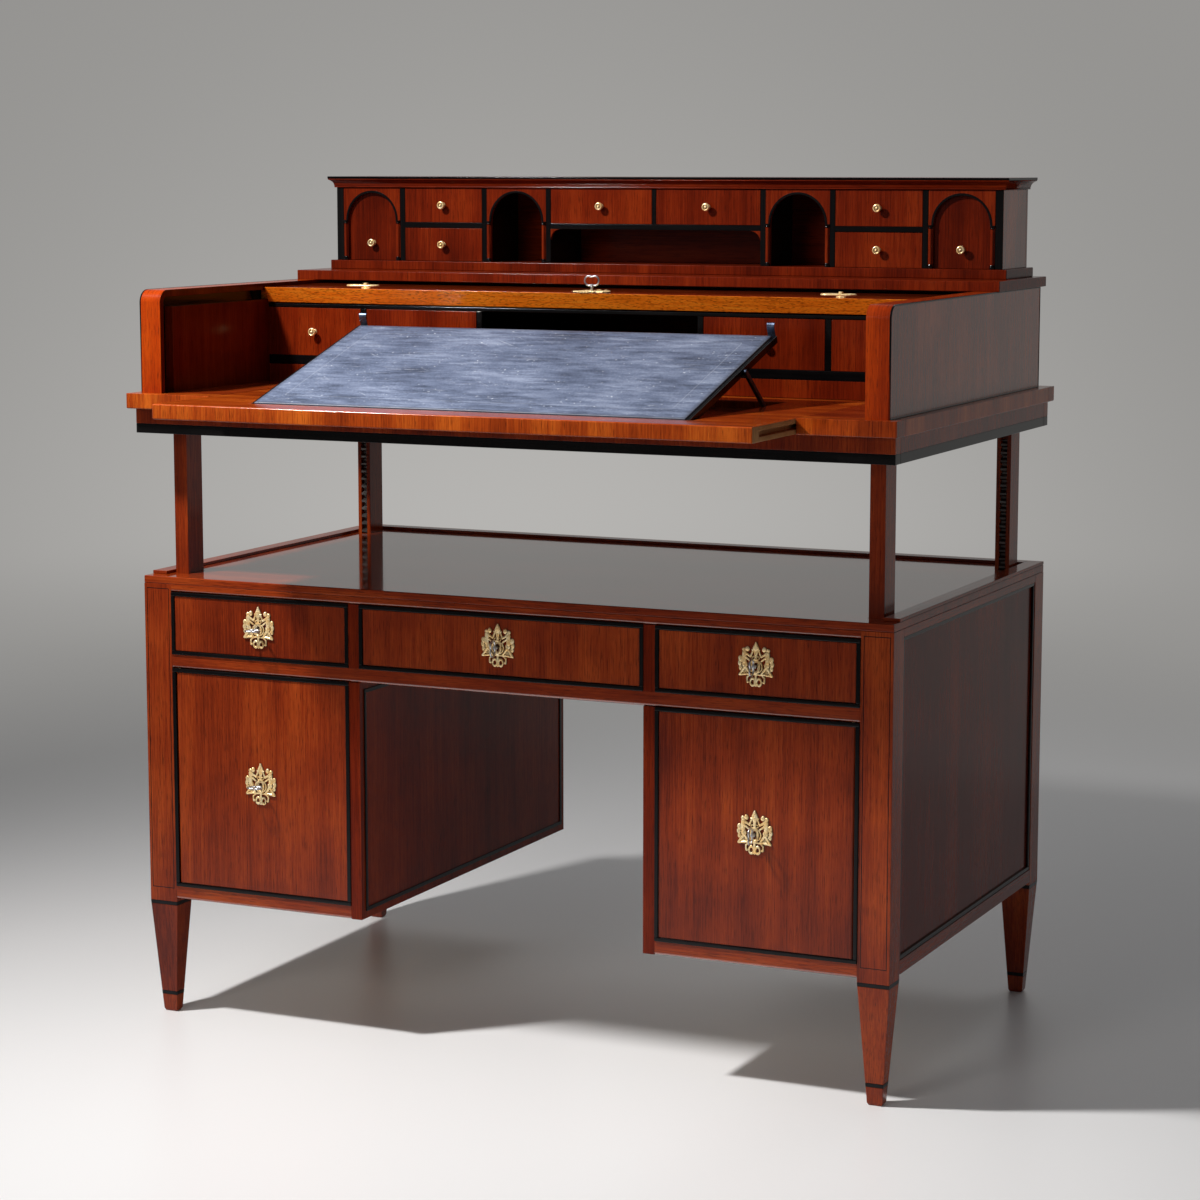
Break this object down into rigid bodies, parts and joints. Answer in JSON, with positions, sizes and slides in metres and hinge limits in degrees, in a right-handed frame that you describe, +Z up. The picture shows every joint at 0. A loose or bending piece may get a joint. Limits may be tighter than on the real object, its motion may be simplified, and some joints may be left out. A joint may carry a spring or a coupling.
{
  "type": "raising writing desk",
  "caption": "Pedestal writing desk on tapered legs whose drawer gallery and writing case rise on toothed posts, with a pull-out slide, leathered slope, drawers, cupboards and locks.",
  "frame": {"origin": "on the floor, under the middle of the desk's footprint with the writing slide pulled out", "axes": "+Z up, the front looks towards -Y, +X to the right of someone facing the desk"},
  "size_m": [1.278, 0.925, 1.34],
  "materials": {
    "mahogany": "french polished red-brown veneer, glossy",
    "lining_oak": "planed oak lining, matt",
    "ebonised_wood": "black stained and polished",
    "gilt_brass": "cast, chased and gilt",
    "steel": "filed and burnished steel",
    "blued_iron": "blued iron, satin",
    "leather": "worn dark blue-grey skiver, tooled border"
  },
  "bodies": {
    "desk": {"corner_legs": "mahogany", "leg_bands": "ebonised_wood", "carcass_rails": "mahogany", "carcass_panels": "mahogany", "carcass_linings": "lining_oak", "lower_top": "mahogany", "ebony_beads": "ebonised_wood", "bearings_and_pivots": "gilt_brass"},
    "lift": {"lift_posts": "mahogany", "post_racks": "steel", "upper_plinth": "mahogany", "plinth_band": "ebonised_wood", "base_moulding": "mahogany", "case_boards": "mahogany", "cheeks": "mahogany", "case_top": "mahogany", "inner_case": "mahogany", "gallery_mouldings": "mahogany", "gallery_case": "ebonised_wood", "gallery_arches": "mahogany"},
    "front_shaft": {"front_lift_shaft": "steel"},
    "rear_shaft": {"rear_lift_shaft": "steel"},
    "linking_shaft": {"link_shaft": "steel"},
    "slide": {"writing_slide": "mahogany"},
    "slope": {"slope_board": "mahogany", "slope_leather": "leather", "slope_clips": "blued_iron"},
    "strut": {"slope_strut": "blued_iron"},
    "flap": {"writing_flap": "mahogany", "flap_mounts": "gilt_brass"},
    "flap_key": {"flap_key": "steel"},
    "left_handle": {"left_flap_handle": "gilt_brass"},
    "right_handle": {"right_flap_handle": "gilt_brass"},
    "left_drawer": {"left_drawer": "mahogany", "left_drawer_escutcheon": "gilt_brass"},
    "left_drawer_key": {"left_drawer_key": "steel"},
    "centre_drawer": {"centre_drawer": "mahogany", "centre_drawer_escutcheon": "gilt_brass"},
    "centre_drawer_key": {"centre_drawer_key": "steel"},
    "right_drawer": {"right_drawer": "mahogany", "right_drawer_escutcheon": "gilt_brass"},
    "right_drawer_key": {"right_drawer_key": "steel"},
    "left_door": {"left_door": "mahogany", "left_door_escutcheon": "gilt_brass"},
    "left_door_key": {"left_door_key": "steel"},
    "right_door": {"right_door": "mahogany", "right_door_escutcheon": "gilt_brass"},
    "right_door_key": {"right_door_key": "steel"},
    "left_arch_drawer": {"left_arch_drawer": "mahogany"},
    "left_lower_drawer": {"left_lower_drawer": "mahogany"},
    "left_upper_drawer": {"left_upper_drawer": "mahogany"},
    "centre_left_drawer": {"centre_left_drawer": "mahogany"},
    "centre_right_drawer": {"centre_right_drawer": "mahogany"},
    "right_lower_drawer": {"right_lower_drawer": "mahogany"},
    "right_upper_drawer": {"right_upper_drawer": "mahogany"},
    "right_arch_drawer": {"right_arch_drawer": "mahogany"},
    "desk_drawer_left_outer": {"desk_drawer_left_outer": "mahogany"},
    "desk_drawer_left_inner": {"desk_drawer_left_inner": "mahogany"},
    "desk_drawer_right_inner": {"desk_drawer_right_inner": "mahogany"},
    "desk_drawer_right_outer": {"desk_drawer_right_outer": "mahogany"}
  },
  "joints": [
    {"name": "lift_rise", "type": "slide", "parent": "desk", "child": "lift", "axis": [0, 0, 1], "range_m": [-0.222, 0]},
    {"name": "front_shaft_turn", "type": "hinge", "parent": "desk", "child": "front_shaft", "pos_m": [0, -0.16779, 0.579], "axis": [1, 0, 0], "range_deg": [-1, 605.95]},
    {"name": "rear_shaft_turn", "type": "hinge", "parent": "desk", "child": "rear_shaft", "pos_m": [0, 0.34679, 0.579], "axis": [1, 0, 0], "range_deg": [-605.95, 1]},
    {"name": "link_shaft_turn", "type": "hinge", "parent": "desk", "child": "linking_shaft", "pos_m": [-0.566, 0.0895, 0.579], "axis": [0, 1, 0], "range_deg": [-605.95, 1]},
    {"name": "left_drawer_pull", "type": "slide", "parent": "desk", "child": "left_drawer", "axis": [0, -1, 0], "range_m": [0, 0.42]},
    {"name": "left_drawer_key_turn", "type": "hinge", "parent": "left_drawer", "child": "left_drawer_key", "pos_m": [-0.4195, -0.2755, 0.64], "axis": [0, -1, 0], "range_deg": [0, 90]},
    {"name": "centre_drawer_pull", "type": "slide", "parent": "desk", "child": "centre_drawer", "axis": [0, -1, 0], "range_m": [0, 0.42]},
    {"name": "centre_drawer_key_turn", "type": "hinge", "parent": "centre_drawer", "child": "centre_drawer_key", "pos_m": [0, -0.2755, 0.64], "axis": [0, -1, 0], "range_deg": [0, 90]},
    {"name": "right_drawer_pull", "type": "slide", "parent": "desk", "child": "right_drawer", "axis": [0, -1, 0], "range_m": [0, 0.42]},
    {"name": "right_drawer_key_turn", "type": "hinge", "parent": "right_drawer", "child": "right_drawer_key", "pos_m": [0.4195, -0.2755, 0.64], "axis": [0, -1, 0], "range_deg": [0, 90]},
    {"name": "left_door_swing", "type": "hinge", "parent": "desk", "child": "left_door", "pos_m": [-0.5693, -0.2715, 0.39], "axis": [0, 0, -1], "range_deg": [0, 90]},
    {"name": "left_door_key_turn", "type": "hinge", "parent": "left_door", "child": "left_door_key", "pos_m": [-0.4195, -0.2755, 0.3905], "axis": [0, -1, 0], "range_deg": [0, 90]},
    {"name": "right_door_swing", "type": "hinge", "parent": "desk", "child": "right_door", "pos_m": [0.5693, -0.2715, 0.39], "axis": [0, 0, 1], "range_deg": [0, 90]},
    {"name": "right_door_key_turn", "type": "hinge", "parent": "right_door", "child": "right_door_key", "pos_m": [0.4195, -0.2755, 0.3905], "axis": [0, -1, 0], "range_deg": [0, 90]},
    {"name": "left_arch_drawer_pull", "type": "slide", "parent": "lift", "child": "left_arch_drawer", "axis": [0, -1, 0], "range_m": [0, 0.085]},
    {"name": "left_lower_drawer_pull", "type": "slide", "parent": "lift", "child": "left_lower_drawer", "axis": [0, -1, 0], "range_m": [0, 0.085]},
    {"name": "left_upper_drawer_pull", "type": "slide", "parent": "lift", "child": "left_upper_drawer", "axis": [0, -1, 0], "range_m": [0, 0.085]},
    {"name": "centre_left_drawer_pull", "type": "slide", "parent": "lift", "child": "centre_left_drawer", "axis": [0, -1, 0], "range_m": [0, 0.085]},
    {"name": "centre_right_drawer_pull", "type": "slide", "parent": "lift", "child": "centre_right_drawer", "axis": [0, -1, 0], "range_m": [0, 0.085]},
    {"name": "right_lower_drawer_pull", "type": "slide", "parent": "lift", "child": "right_lower_drawer", "axis": [0, -1, 0], "range_m": [0, 0.085]},
    {"name": "right_upper_drawer_pull", "type": "slide", "parent": "lift", "child": "right_upper_drawer", "axis": [0, -1, 0], "range_m": [0, 0.085]},
    {"name": "right_arch_drawer_pull", "type": "slide", "parent": "lift", "child": "right_arch_drawer", "axis": [0, -1, 0], "range_m": [0, 0.085]},
    {"name": "desk_drawer_left_outer_pull", "type": "slide", "parent": "lift", "child": "desk_drawer_left_outer", "axis": [0, -1, 0], "range_m": [0, 0.15]},
    {"name": "desk_drawer_left_inner_pull", "type": "slide", "parent": "lift", "child": "desk_drawer_left_inner", "axis": [0, -1, 0], "range_m": [0, 0.06]},
    {"name": "desk_drawer_right_inner_pull", "type": "slide", "parent": "lift", "child": "desk_drawer_right_inner", "axis": [0, -1, 0], "range_m": [0, 0.06]},
    {"name": "desk_drawer_right_outer_pull", "type": "slide", "parent": "lift", "child": "desk_drawer_right_outer", "axis": [0, -1, 0], "range_m": [0, 0.15]},
    {"name": "flap_run", "type": "slide", "parent": "lift", "child": "flap", "axis": [0, -1, 0], "range_m": [0, 0.3]},
    {"name": "flap_key_turn", "type": "hinge", "parent": "flap", "child": "flap_key", "pos_m": [0, 0.0595, 1.16], "axis": [0, 0, 1], "range_deg": [0, 90]},
    {"name": "left_handle_lift", "type": "hinge", "parent": "flap", "child": "left_handle", "pos_m": [-0.415, 0.0715, 1.164], "axis": [-1, 0, 0], "range_deg": [0, 90]},
    {"name": "right_handle_lift", "type": "hinge", "parent": "flap", "child": "right_handle", "pos_m": [0.415, 0.0715, 1.164], "axis": [-1, 0, 0], "range_deg": [0, 90]},
    {"name": "slide_pull", "type": "slide", "parent": "lift", "child": "slide", "axis": [0, -1, 0], "range_m": [-0.07, 0]},
    {"name": "slope_tilt", "type": "hinge", "parent": "slide", "child": "slope", "pos_m": [0, -0.3895, 0.9943], "axis": [1, 0, 0], "range_deg": [-17, 0]},
    {"name": "strut_fold", "type": "hinge", "parent": "slope", "child": "strut", "pos_m": [0.3595, -0.18463, 1.05955], "axis": [1, 0, 0], "range_deg": [-0.5, 57]}
  ],
  "couplings": [
    {"joint": "front_shaft_turn", "follows": "lift_rise", "rad_per_m": -47.6},
    {"joint": "rear_shaft_turn", "follows": "lift_rise", "rad_per_m": 47.6},
    {"joint": "link_shaft_turn", "follows": "lift_rise", "rad_per_m": 47.6},
    {"joint": "strut_fold", "follows": "slope_tilt", "ratio": -3.2941}
  ]
}
